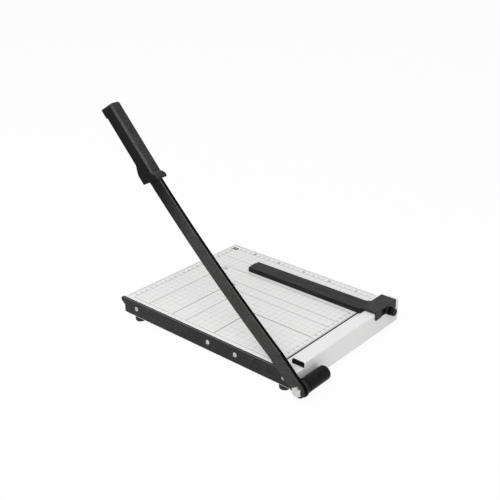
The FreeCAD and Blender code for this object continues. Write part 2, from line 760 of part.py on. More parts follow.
def make_foot_screw_master():
    """Pan-head screw, its head's seat at z = 0 and its shank along +z."""
    body = new_body("foot_screw_master")
    profile = new_sketch(body, "XZ_Plane", "profile")
    grip = k.foot_height - k.foot_recess_depth + k.sheet_thickness
    length = grip + k.foot_nut_height + k.foot_screw_end
    rim = k.foot_screw_head_height / 2
    draw_outline(profile, [
        (0, -k.foot_screw_head_height),
        (k.foot_screw_head_radius - rim, -k.foot_screw_head_height),
        (k.foot_screw_head_radius, rim - k.foot_screw_head_height, rim, "left"),
        (k.foot_screw_head_radius, 0),
        (k.foot_screw_radius, 0),
        (k.foot_screw_radius, length),
        (0, length),
    ])
    revolve(body, profile, "turned_screw")
    return body


def make_feet():
    places_of_feet = foot_places()
    for name, (x, y) in places_of_feet.items():
        make_foot(name, x, y)
    seat = -k.skirt_height - (k.foot_height - k.foot_recess_depth)
    group_of_copies(
        "foot_screws", make_foot_screw_master(), [(x, y, seat) for x, y in places_of_feet.values()])
    nut = make_nut_master(
        "foot_nut_master", k.foot_nut_flats, k.foot_nut_height,
        k.foot_screw_radius + k.foot_screw_clearance)
    flange_top = k.sheet_thickness - k.skirt_height
    group_of_copies("foot_nuts", nut, [(x, y, flange_top) for x, y in places_of_feet.values()])


# ---------------------------------------------------------------- pivot

# Along the pivot, measured back from the bed's front face
bush_end = k.bush_length
spring_seat = k.bush_length + k.bush_spigot_length
washer_seat = spring_seat + k.spring_length
nut_seat = washer_seat + k.washer_thickness
bolt_tip = nut_seat + k.lock_nut_height + k.bolt_end


def make_pivot_bolt():
    """Hexagon bolt, its head outside the arm and its shank back through the blade and spring."""
    body = new_body("pivot_bolt")
    head_seat = arm_outer_y - k.sliding_gap
    head = new_sketch(body, "XY_Plane", "head_hexagon", head_seat)
    draw_hexagon(head, k.bolt_head_flats)
    pad(body, head, k.bolt_head_height, "head", reversed_side=True)

    shank = new_sketch(body, "XY_Plane", "shank_circle", head_seat)
    draw_circle(shank, 0, 0, k.bolt_radius)
    pad(body, shank, bolt_tip - head_seat, "shank")

    crown = new_sketch(body, "XZ_Plane", "crown_profile")
    crown_z = head_seat - k.bolt_head_height
    crown_slope = sine(k.bolt_crown_angle) / cosine(k.bolt_crown_angle)
    draw_outline(crown, [
        (k.bolt_crown_radius, crown_z),
        (k.bolt_head_flats, crown_z + (k.bolt_head_flats - k.bolt_crown_radius) * crown_slope),
        (k.bolt_head_flats, crown_z),
    ])
    bevel = body.newObject("PartDesign::Groove", "crown")
    bevel.Profile = crown
    bevel.ReferenceAxis = (crown, ["V_Axis"])
    bevel.Angle = 360
    place(body, pivot_x, 0, pivot_z, Z_TO_BACK)
    return finish(body)


def make_pivot_bush():
    """Collar behind the fixed blade, with a spigot that centres the spring cover."""
    body = new_body("pivot_bush")
    bore = k.bolt_radius + k.bore_clearance
    profile = new_sketch(body, "XZ_Plane", "profile")
    draw_outline(profile, [
        (bore, 0),
        (k.bush_radius, 0),
        (k.bush_radius, k.bush_length),
        (k.bush_spigot_radius, k.bush_length),
        (k.bush_spigot_radius, spring_seat),
        (bore, spring_seat),
    ])
    revolve(body, profile, "turned_collar")
    place(body, pivot_x, 0, pivot_z, Z_TO_BACK)
    return finish(body)


def make_pressure_spring():
    """Round-wire coil spring between the collar and the thrust washer."""
    body = new_body("pressure_spring")
    wire = k.spring_wire_radius
    section = new_sketch(body, "XZ_Plane", "wire_section")
    draw_circle(section, k.spring_mean_radius, wire, wire)
    coil = body.newObject("PartDesign::AdditiveHelix", "coil")
    coil.Profile = section
    coil.ReferenceAxis = (section, ["V_Axis"])
    coil.Mode = "height-turns-angle"
    coil.setExpression("Height", (k.spring_length - wire * 2).text)
    coil.setExpression("Turns", k.spring_turns.text)
    place(body, pivot_x, spring_seat, pivot_z, Z_TO_BACK)
    return finish(body)


def make_thrust_washer():
    body = new_body("thrust_washer")
    ring = new_sketch(body, "XY_Plane", "ring")
    draw_circle(ring, 0, 0, k.washer_radius)
    draw_circle(ring, 0, 0, k.bolt_radius + k.bore_clearance)
    pad(body, ring, k.washer_thickness, "washer")
    place(body, pivot_x, washer_seat, pivot_z, Z_TO_BACK)
    return finish(body)


def make_lock_nut():
    body = make_nut_master("lock_nut", k.lock_nut_flats, k.lock_nut_height, k.bolt_radius + k.bore_clearance)
    place(body, pivot_x, nut_seat, pivot_z, Z_TO_BACK)
    return finish(body)


def make_spring_cover():
    """Moulded cap over spring and nut, seated on the collar."""
    body = new_body("spring_cover")
    inside = k.cover_radius - k.cover_wall
    spigot_bore = k.bush_spigot_radius + k.cover_clearance
    r = k.cover_end_radius
    end = k.cover_length
    profile = new_sketch(body, "XZ_Plane", "profile")
    draw_outline(profile, [
        (spigot_bore, 0),
        (k.cover_radius, 0),
        (k.cover_radius, end - r),
        (k.cover_radius - r, end, r, "left"),
        (0, end),
        (0, end - k.cover_wall),
        (inside - r / 2, end - k.cover_wall),
        (inside, end - k.cover_wall - r / 2, r / 2, "right"),
        (inside, k.bush_spigot_length),
        (spigot_bore, k.bush_spigot_length),
    ])
    revolve(body, profile, "moulded_cap")
    place(body, pivot_x, bush_end, pivot_z, Z_TO_BACK)
    return finish(body)


# ---------------------------------------------------------------- arm


def bow_height(along, radius):
    """Height of a bow line above the pivot line at a place along the arm."""
    run = along - k.bow_middle
    return k.bow_radius - k.bow_depth - root(radius * radius - run * run)


def handle_point(along, up):
    """A point of the handle's own axis frame, in the arm's frame."""
    cos, sin = cosine(k.handle_tilt), sine(k.handle_tilt)
    return (
        k.handle_start + along * cos - up * sin,
        k.handle_rise + along * sin + up * cos,
    )


def cut_along_bow(body, name, radius, corners):
    """Takes a small section off the arm along one of its bow lines, from the bow's start to the shoulder.

    Corners are measured from the centre of the bow: across the arm, then square to its plane.
    """
    section = new_sketch(body, "YZ_Plane", name, k.bow_middle)
    section.setExpression("AttachmentOffset.Base.x", (k.bow_radius - k.bow_depth).text)
    draw_outline(section, corners)
    degrees_per_length = Size.of(math.degrees(1)) / radius
    groove = body.newObject("PartDesign::Groove", name + "_cut")
    groove.Profile = section
    groove.ReferenceAxis = (section, ["V_Axis"])
    groove.Type = "TwoAngles"
    groove.setExpression("Angle", (degrees_per_length * (k.shoulder_place - k.bow_middle + k.arm_width)).text)
    groove.setExpression("Angle2", (degrees_per_length * (k.bow_middle - k.bow_start)).text)
    return groove


def make_blade_arm():
    """Bowed steel lever with a ground lower edge, a round end at the pivot and a tang for the handle."""
    body = new_body("blade_arm")
    lower = k.bow_radius + k.arm_width / 2
    upper = k.bow_radius - k.arm_width / 2
    r = k.arm_end_radius
    shoulder = k.shoulder_place

    outline = new_sketch(body, "XY_Plane", "plate_outline")
    draw_outline(outline, [
        (k.bow_start, bow_height(k.bow_start, lower)),
        (shoulder, bow_height(shoulder, lower), lower, "left"),
        (shoulder, bow_height(shoulder, upper)),
        (k.bow_start, bow_height(k.bow_start, upper), upper, "right"),
        (0, r),
        (-r, 0, r, "left"),
        (0, -r, r, "left"),
    ])
    pad(body, outline, k.arm_thickness, "plate", symmetric=True)

    outer_face = -(k.arm_thickness / 2)
    cut_along_bow(body, "ground_edge", lower, [
        (-lower, outer_face),
        (k.edge_grind - lower, outer_face),
        (-lower, outer_face + k.edge_grind_run),
    ])
    cut_along_bow(body, "upper_bevel", upper, [
        (-upper, outer_face),
        (-upper, outer_face + k.arm_bevel),
        (-upper - k.arm_bevel, outer_face),
    ])

    tang = new_sketch(body, "XY_Plane", "tang_outline")
    half_tang = k.tang_width / 2
    draw_outline(tang, [
        handle_point(k.tang_start, -half_tang),
        handle_point(k.tang_end, -half_tang),
        handle_point(k.tang_end, half_tang),
        handle_point(k.tang_start, half_tang),
    ])
    pad(body, tang, k.arm_thickness, "tang", symmetric=True)

    bore = new_sketch(body, "XY_Plane", "bolt_bore")
    draw_circle(bore, 0, 0, k.bolt_radius + k.bore_clearance)
    pocket(body, bore, k.arm_thickness * 2, "pivot_bore", symmetric=True)
    place(body, pivot_x, arm_middle_y, pivot_z, ARM_RAISED)
    return finish(body)


def make_handle_grip():
    """Moulded grip on the arm's tang: finger guard below, thumb lip above, pommel step at the tip."""
    body = new_body("handle_grip")
    half = k.grip_height / 2
    guard = -(half + k.guard_drop)
    lip = half + k.lip_rise
    tip = k.handle_length
    pommel = -(half + k.pommel_step)
    corner = k.guard_corner

    eased = k.guard_length + k.guard_ease_run
    outline = new_sketch(body, "XY_Plane", "side_outline")
    draw_outline(outline, [
        handle_point(corner, guard),
        handle_point(k.guard_length, guard),
        handle_point(eased, guard + k.guard_ease_rise),
        handle_point(eased + k.guard_slope, -half),
        handle_point(tip - k.pommel_length - k.pommel_slope, -half),
        handle_point(tip - k.pommel_length, pommel),
        handle_point(tip, pommel),
        handle_point(tip - k.tip_slant, half),
        handle_point(k.lip_slope, half),
        handle_point(k.lip_crest, lip),
        handle_point(k.lip_corner - k.lip_reach, lip),
        handle_point(-k.lip_reach, lip - k.lip_corner),
        handle_point(-k.guard_rake, guard + corner),
    ])
    grip = pad(body, outline, k.grip_thickness, "grip", symmetric=True)

    half_thickness = k.grip_thickness.value / 2
    tilt = math.radians(k.handle_tilt.value)
    start, rise = k.handle_start.value, k.handle_rise.value

    def along_handle(p):
        return (p.x - start) * math.cos(tilt) + (p.y - rise) * math.sin(tilt)

    def across_handle(p):
        return (p.y - rise) * math.cos(tilt) - (p.x - start) * math.sin(tilt)

    def side_edges(p):
        return near(abs(p.z), half_thickness) and along_handle(p) > k.lip_crest.value / 2

    rounded = fillet(body, grip, side_edges, k.grip_radius, "rounded_edges")

    def tip_edges(p):
        share = (across_handle(p) - pommel.value) / (half - pommel).value
        return near(along_handle(p), tip.value - k.tip_slant.value * share)

    fillet(body, rounded, tip_edges, k.tip_radius, "rounded_tip")

    clear = k.tang_clearance
    lower = k.bow_radius + k.arm_width / 2 + clear
    upper = k.bow_radius - k.arm_width / 2 - clear
    mouth = k.handle_start - k.lip_reach * 2
    shoulder = k.shoulder_place + clear
    slot_thickness = k.arm_thickness + clear * 2
    slot = new_sketch(body, "XY_Plane", "plate_slot")
    draw_outline(slot, [
        (mouth, bow_height(mouth, lower)),
        (shoulder, bow_height(shoulder, lower), lower, "left"),
        (shoulder, bow_height(shoulder, upper)),
        (mouth, bow_height(mouth, upper), upper, "right"),
    ])
    pocket(body, slot, slot_thickness, "plate_slot_cut", symmetric=True)

    tang = new_sketch(body, "XY_Plane", "tang_slot")
    half_tang = k.tang_width / 2 + clear
    draw_outline(tang, [
        handle_point(k.tang_start, -half_tang),
        handle_point(k.tang_end + clear, -half_tang),
        handle_point(k.tang_end + clear, half_tang),
        handle_point(k.tang_start, half_tang),
    ])
    pocket(body, tang, slot_thickness, "tang_slot_cut", symmetric=True)

    # Relief that lets the shut handle come down beside the fixed blade's nose
    closed_sin, closed_cos = sine(k.closed_angle), cosine(k.closed_angle)
    nose_far = (pivot_x - nose_tip) * closed_cos + k.pivot_drop * closed_sin + k.nose_gap
    nose_top = k.pivot_drop * closed_cos - (pivot_x - bed_left) * closed_sin + k.nose_gap * 2
    relief = new_sketch(body, "XY_Plane", "nose_relief", k.arm_thickness / 2 - k.nose_gap)
    draw_rectangle(relief, mouth, -k.grip_height * 2, nose_far, nose_top)
    pocket(body, relief, k.grip_thickness, "nose_relief_cut", reversed_side=True)
    place(body, pivot_x, arm_middle_y, pivot_z, ARM_RAISED)
    return finish(body)


# ---------------------------------------------------------------- gauge

gauge_front = k.bed_width - k.gauge_back_inset - k.gauge_head_length
clamp_y = gauge_front + k.clamp_place
head_left = ridge_foot - k.gauge_clearance - k.gauge_wall
head_right = bed_right + k.gauge_clearance + k.gauge_outer_wall
boss_face = bed_right + k.clamp_boss_reach
pad_back = bed_right + k.pad_gap + k.pad_thickness
pad_travel = k.clamp_pitch * k.clamp_turns
pad_pocket_floor = pad_back + pad_travel + k.pad_gap
knob_face = boss_face + k.knob_hub_length


def make_paper_gauge():
    """T gauge: a ribbed bar across the bed and a head that straddles the ridge, in one moulding."""
    body = new_body("paper_gauge")
    bar_left = ridge_foot - k.gauge_bar_reach
    front, bar_back = 0, k.gauge_bar_width
    end_back = bar_back - k.gauge_bar_taper
    lift, top = k.gauge_lift, k.gauge_head_height
    slope_foot = head_left - (top - k.gauge_bar_height)
    bow = k.gauge_bar_end_bow
    half_end = end_back / 2
    bow_radius = (half_end * half_end + bow * bow) / (bow * 2)

    bar = new_sketch(body, "XY_Plane", "bar_plan", lift)
    r = k.gauge_fillet
    draw_outline(bar, [
        (head_left, front),
        (head_left, bar_back + r),
        (slope_foot, bar_back + r),
        (slope_foot - r, bar_back, r, "right"),
        (bar_left, end_back),
        (bar_left - bow, half_end, bow_radius, "left"),
        (bar_left, front, bow_radius, "left"),
    ])
    beam = pad(body, bar, k.gauge_bar_height - lift, "bar")

    def bar_rim(p):
        return near(p.z, k.gauge_bar_height.value) and p.x < slope_foot.value + 1e-3

    chamfer(body, beam, bar_rim, k.gauge_edge_ease, "eased_bar")

    clear = k.gauge_clearance
    low = -k.gauge_lug_depth
    ceiling = k.ridge_height + k.gauge_headroom
    bend = k.ridge_bend_radius
    section = new_sketch(body, "XZ_Plane", "head_section")
    draw_outline(section, [
        (head_right, low),
        (head_right, top),
        (head_left, top),
        (slope_foot, k.gauge_bar_height),
        (slope_foot, lift),
        (ridge_foot - clear, lift),
        (ridge_foot - clear, ceiling),
        (bed_right + clear - bend, ceiling),
        (bed_right + clear, ceiling - bend, bend, "right"),
        (bed_right + clear, low),
    ])
    head = pad(body, section, k.gauge_head_length, "head", reversed_side=True)

    def head_rim(p):
        return near(p.z, top.value) and not near(p.x, head_left.value)

    chamfer(body, head, head_rim, k.gauge_edge_ease, "eased_head")

    notch = new_sketch(body, "XY_Plane", "open_corner", low)
    draw_rectangle(
        notch, ridge_foot - clear - k.gauge_notch_width, -k.gauge_notch_length,
        ridge_foot, k.gauge_notch_length)
    pocket(body, notch, ceiling - low, "open_corner_cut", reversed_side=True)

    recess = new_sketch(body, "XZ_Plane", "outer_recess", -k.gauge_recess_start)
    draw_rectangle(
        recess, head_right - k.gauge_recess_depth, -(k.gauge_lug_depth * 2),
        head_right + clear, top - k.gauge_outer_wall)
    pocket(body, recess, k.gauge_recess_length, "outer_recess_cut")

    # Hollow underside of the bar, between its ribs
    shell = k.gauge_shell
    bay_left = bar_left + shell
    bay_right = slope_foot - shell
    bays = k.rib_count + 1
    bay_length = (bay_right - bay_left - k.rib_thickness * k.rib_count) / bays
    hollow = new_sketch(body, "XY_Plane", "bar_hollow", lift)
    for i in range(int(k.rib_count.value) + 1):
        start = bay_left + (bay_length + k.rib_thickness) * i
        draw_rectangle(hollow, start, shell, start + bay_length, end_back - shell)
    pocket(body, hollow, k.gauge_bar_height - lift - shell, "bar_hollow_cut", reversed_side=True)

    boss = new_sketch(body, "YZ_Plane", "clamp_boss", bed_right + clear)
    draw_circle(boss, k.clamp_place, k.clamp_height, k.clamp_boss_radius)
    pad(body, boss, boss_face - bed_right - clear, "boss")

    pad_pocket = new_sketch(body, "YZ_Plane", "pad_pocket", bed_right)
    draw_circle(pad_pocket, k.clamp_place, k.clamp_height, k.pad_radius + k.pad_gap)
    pocket(body, pad_pocket, pad_pocket_floor - bed_right, "pad_pocket_cut", reversed_side=True)

    seat = new_sketch(body, "YZ_Plane", "insert_seat", boss_face)
    draw_circle(seat, k.clamp_place, k.clamp_height, k.insert_radius)
    pocket(body, seat, boss_face - bed_right, "insert_seat_cut")
    place(body, y=gauge_front)
    return finish(body)


def make_clamp_insert():
    """Brass insert in the boss, which the clamp screw runs in."""
    body = new_body("clamp_insert")
    ring = new_sketch(body, "XY_Plane", "ring")
    draw_circle(ring, 0, 0, k.insert_radius)
    draw_circle(ring, 0, 0, k.clamp_screw_radius + k.clamp_screw_clearance)
    pad(body, ring, k.insert_length, "insert")
    place(body, boss_face - k.insert_length, clamp_y, k.clamp_height, Z_TO_RIGHT)
    return finish(body)


def make_clamp_screw():
    """Threaded stud from the pad out into the knob."""
    body = new_body("clamp_screw")
    length = knob_face - pad_back + k.knob_thickness / 2
    stud = new_sketch(body, "XY_Plane", "stud")
    draw_circle(stud, 0, 0, k.clamp_screw_radius)
    pad(body, stud, length, "stud")
    place(body, pad_back, clamp_y, k.clamp_height, Z_TO_RIGHT)
    return finish(body)


def make_clamp_pad():
    """Round pad at the stud's tip."""
    body = new_body("clamp_pad")
    disc = new_sketch(body, "XY_Plane", "disc")
    draw_circle(disc, 0, 0, k.pad_radius)
    pad(body, disc, k.pad_thickness, "pad")
    place(body, bed_right + k.pad_gap, clamp_y, k.clamp_height, Z_TO_RIGHT)
    return finish(body)


def make_clamp_knob():
    """Fluted knob with a dished end, moulded on the stud."""
    body = new_body("clamp_knob")
    stud_end = k.knob_thickness / 2
    edge = k.knob_edge
    profile = new_sketch(body, "XZ_Plane", "profile")
    draw_outline(profile, [
        (k.clamp_screw_radius, 0),
        (k.knob_radius - edge, 0),
        (k.knob_radius, edge),
        (k.knob_radius, k.knob_thickness - edge),
        (k.knob_radius - edge, k.knob_thickness),
        (k.knob_dish_radius, k.knob_thickness),
        (k.knob_dish_radius - edge, k.knob_thickness - k.knob_dish_depth),
        (0, k.knob_thickness - k.knob_dish_depth),
        (0, stud_end),
        (k.clamp_screw_radius, stud_end),
    ])
    revolve(body, profile, "turned_knob")
    flute = new_sketch(body, "XY_Plane", "flute", -k.knob_thickness)
    draw_circle(flute, k.knob_radius + k.knob_flute_offset, 0, k.knob_flute_radius)
    groove = pocket(body, flute, k.knob_thickness * 3, "flute_cut", reversed_side=True)
    ring = body.newObject("PartDesign::PolarPattern", "flutes")
    ring.Originals = [groove]
    ring.Axis = (flute, ["N_Axis"])
    ring.Angle = 360
    ring.setExpression("Occurrences", k.knob_flutes.text)
    body.Tip = ring
    place(body, knob_face, clamp_y, k.clamp_height, Z_TO_RIGHT)
    return finish(body)


def make_cutter():
    make_base_board()
    make_front_plug()
    make_rear_plug()
    make_fixed_blade()
    make_rail_fasteners()
    make_feet()
    make_pivot_bolt()
    make_pivot_bush()
    make_pressure_spring()
    make_thrust_washer()
    make_lock_nut()
    make_spring_cover()
    make_blade_arm()
    make_handle_grip()
    make_paper_gauge()
    make_clamp_insert()
    make_clamp_screw()
    make_clamp_pad()
    make_clamp_knob()
    doc.recompute()


def check_objects():
    """Stops with a plain message if any object of the document failed to build."""
    for thing in doc.Objects:
        if "Invalid" in thing.State or "Error" in thing.State:
            raise RuntimeError(f"{thing.Label} ({thing.TypeId}) didn't build: {thing.State}")
    for part in parts:
        shape = part.Shape
        if shape.isNull() or not shape.isValid() or not shape.Solids:
            raise RuntimeError(f"{part.Label} has no valid solid")


def write_parts():
    os.makedirs("parts", exist_ok=True)
    for part in parts:
        part.Shape.exportStep(f"parts/{part.Label}.step")
        box = part.Shape.BoundBox
        print(f"{part.Label}: {len(part.Shape.Solids)} solid(s), {part.Shape.Volume:.0f} mm3, "
              f"x {box.XMin:.1f} {box.XMax:.1f}, y {box.YMin:.1f} {box.YMax:.1f}, "
              f"z {box.ZMin:.1f} {box.ZMax:.1f}")


make_cutter()
check_objects()
write_parts()
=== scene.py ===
"""Looks of a guillotine paper cutter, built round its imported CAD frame.

Gives every piece its finish, prints the bed, and sets up the studio and the camera. Lengths are metres, and
MM turns a millimetre into one. Places are taken from the boxes of the CAD nodes.
"""
import json
import math

import bmesh
import bpy
from mathutils import Matrix, Vector


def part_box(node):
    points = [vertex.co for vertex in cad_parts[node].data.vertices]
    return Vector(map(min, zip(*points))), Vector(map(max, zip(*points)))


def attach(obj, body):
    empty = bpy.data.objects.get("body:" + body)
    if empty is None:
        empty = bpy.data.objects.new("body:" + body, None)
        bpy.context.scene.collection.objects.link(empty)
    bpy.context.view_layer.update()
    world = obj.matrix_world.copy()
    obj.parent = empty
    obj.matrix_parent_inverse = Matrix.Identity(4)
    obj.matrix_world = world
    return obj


MM = 0.001

# Camera: its place from the middle of the bed's front edge at the paper's height, the direction of its view
# in degrees, and its lens and film in millimetres
CAMERA_STAND = Vector((697.7, -710.3, 581.8)) * MM
CAMERA_AZIMUTH = 40.75
CAMERA_ELEVATION = 24.75
CAMERA_LENS = 59.82
CAMERA_FILM = 36
CAMERA_NEAR = 10 * MM

# Studio
SURROUND_LIGHT = 0.46  # strength of the surroundings where they light
FLOOR_HALF = 6.0  # half the floor's side
FLOOR_WHITE = 0.95  # share of plain white in what is seen of the floor
SOFT_BOX_AIM = Vector((0, 0, 0.1))
# Name, place, side and power in watts
SOFT_BOXES = (
    ("key_light", Vector((0.75, -1.35, 1.75)), 1.8, 32),
    ("fill_light", Vector((-1.5, -0.9, 1.3)), 1.4, 9),
)

# Noise in the finishes
NOISE_LOW = 0.35  # most of it lies between these two
NOISE_HIGH = 0.65
NOISE_ROUGHNESS = 0.6
RAGGED_SCALE = 60  # patches to the metre along a ragged border
LEAST_ROUGHNESS = 0.02  # an uneven gloss stops here

# Stretches over which a finish changes
DARK_STRIP_DEPTH = 2.5 * MM  # of a darker strip on the bed, behind the fixed blade
DARK_STRIP_RAGGED = 0.8 * MM
RAIL_RUBBED = 150 * MM  # from the fixed blade's left end
ARM_SHADE_END = (70 * MM, 127 * MM)  # from the arm's upper end, where shade is painted
BEVEL_HIGHLIGHT_SPAN = (0.35 * MM, 0.8 * MM)  # from the arm's front face, where a highlight is painted
GRIP_SHADE_BACK = (8 * MM, 1 * MM)  # from the grip's back, where shade is painted

# Sizes that tell the gauge's faces apart
HEAD_REACH = 7.65 * MM  # of the head, left of the fence
BAR_HEIGHT = 8 * MM  # over the paper
RIM_DEPTH = 1 * MM  # of the bar's rims, where a highlight is painted
LUG_FACE_OUT = 2.45 * MM  # from the bed's right side to the lug's outer face
RECESS_SEARCH = 2 * MM  # the floor of its recess lies no deeper
FACE_SLACK = 0.1 * MM  # either way of the lug's outer face

# Cosines of a face's normal with an axis, or with the arm's own upward direction, that tell faces apart
ARM_EDGE_ASIDE = 0.3
ARM_EDGE_LEAST_UP = -0.2
ARM_BEVEL_FRONT = -0.5
ARM_BEVEL_UP = (0.5, 0.9)
RECESS_OUTWARD = 0.9
RIM_UP = (0.4, 0.9)
RIM_ASIDE = 0.4
HONED_FRONT = -0.3
HONED_UP = 0.3

# Film of ink
INK_LIFT = 0.05 * MM  # off the enamel
SIZE_LIFT = INK_LIFT * 1.2
BOLD_LIFT = 0.08 * MM
INK_BITE = 0.02 * MM  # into the enamel
MERGE_DISTANCE = 0.001 * MM

# Places of the printed lines
ZERO_AHEAD = 2.7 * MM  # the scales' zero, in front of the fixed blade
RULE_OUTER_IN = 2.2 * MM  # the two lines of the left and rear scales, in from the bed's side
RULE_INNER_IN = 14 * MM
FENCE_RULE_NEAR = 12 * MM  # the two lines of the fence's scale, left of the fence
FENCE_RULE_FAR = 20 * MM
FRONT_LINE_IN = 6.7 * MM  # in from the bed's front edge
HEAVY_LINE_OUT = 10.2 * MM  # left of the fence
HEAVY_LINE_FRONT_IN = 2 * MM
HEAVY_LINE_REAR_IN = 3 * MM

# Widths of the printed lines and lengths of the ticks
GRID_WIDTH = 0.29 * MM
HAIR_WIDTH = 0.28 * MM
RULE_WIDTH = HAIR_WIDTH * 2
FRONT_WIDTH = HAIR_WIDTH * 2.4
HEAVY_WIDTH = 2.6 * MM
TICK_SHORT = 2.0 * MM
TICK_MIDDLE = 3.2 * MM
TICK_LONG = 4.4 * MM

# Steps of the print, the ticks in millimetres and the figures in centimetres
CENTIMETRE = 10 * MM
GRID_START = 2 * CENTIMETRE
TICKS_ALONG = range(13, 250)
TICKS_ACROSS = range(21, 301)
FIGURES_ALONG = range(2, 24)
FIGURES_ACROSS = range(3, 29)
BOLD_EVERY = 5
BOLD_FIGURES_ACROSS = range(BOLD_EVERY, 30, BOLD_EVERY)

# Figures: size, turn in degrees and how far their strokes are thickened
LEFT_FIGURES = (4.6 * MM, -90, 0.12 * MM)
FENCE_FIGURES = (3.4 * MM, -90, 0.12 * MM)
REAR_FIGURES = (3.6 * MM, 0, 0.1 * MM)
REAR_BOLD_FIGURES = (5.4 * MM, 0, 0.2 * MM)
CORNER_FIGURES = (11.5 * MM, 0, 0.45 * MM)
SHEET_FIGURES = (4.4 * MM, 0, 0.12 * MM)
CURVE_STEPS = 2

# Places of the figures' middles
SCALE_FIGURES_OFF = 3.4 * MM  # off the inner line of the left or rear scale
FENCE_FIGURES_OFF = 1.8 * MM
REAR_BOLD_FIGURES_OFF = 4.0 * MM
CORNER_TEXT = "30"
CORNER_ACROSS = 290.5 * MM
CORNER_FIGURES_OFF = 0.5 * MM
SHEET_FIGURES_IN = (5.5, 8.5)  # millimetres in from the corner of the sheet, across and along

# Standard sheets in millimetres: the short and the long side, then the width of the line that ends each
PAPER_SIZES = (
    (91, 128, 0.95, 1.0), (128, 182, 0.58, 0.58), (148, 210, 0.58, 1.0), (182, 257, 0.58, 0.68),
    (210, 297, 0.58, 0.58),
)

# Inks: name, grey and how uneven the film is
INKS = (
    ("grid_ink", 0.50, 0.12), ("rule_ink", 0.24, 0.2), ("size_ink", 0.15, 0.25), ("bold_ink", 0.008, 0.2),
)
INK_WARMTH = 0.98  # an ink's blue, as a share of its red and green

# Directions, with the arm raised as it is at rest
REST_ANGLE = math.radians(42)
UP = Vector((0, 0, 1))
ARM_UP = Vector((math.sin(REST_ANGLE), 0, math.cos(REST_ANGLE)))
ARM_FRONT = Vector((0, -1, 0))
# The slant of the handle's painted highlight
GRIP_HIGHLIGHT_SLANT = ARM_UP + 1.2 * ARM_FRONT

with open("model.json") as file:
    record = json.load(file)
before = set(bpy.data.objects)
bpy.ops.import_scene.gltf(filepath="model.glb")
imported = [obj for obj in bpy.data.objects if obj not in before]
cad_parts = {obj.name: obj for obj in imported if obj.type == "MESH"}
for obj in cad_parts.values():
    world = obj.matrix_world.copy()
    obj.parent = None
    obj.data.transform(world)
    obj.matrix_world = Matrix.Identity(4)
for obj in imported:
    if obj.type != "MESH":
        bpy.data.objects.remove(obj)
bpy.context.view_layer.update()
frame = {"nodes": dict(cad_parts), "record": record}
nodes = frame["nodes"]

bed_low, bed_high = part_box("base_board")
blade_low, blade_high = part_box("fixed_blade")
arm_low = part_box("blade_arm")[0]
grip_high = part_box("handle_grip")[1]
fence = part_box("ridge_end_plug_front")[0].x
bed_top = blade_high.z
bed_middle = (bed_low.x + bed_high.x) / 2

# Where the printing lies, measured left from the fence and back from the scales' zero
print_zero = blade_low.y - ZERO_AHEAD
bed_reach = fence - bed_low.x
bed_front = bed_low.y - print_zero
bed_depth = bed_high.y - print_zero
left_inner = bed_reach - RULE_INNER_IN
left_outer = bed_reach - RULE_OUTER_IN
rear_inner = bed_depth - RULE_INNER_IN
rear_outer = bed_depth - RULE_OUTER_IN
front_line = bed_front + FRONT_LINE_IN


# ---------------------------------------------------------------- materials


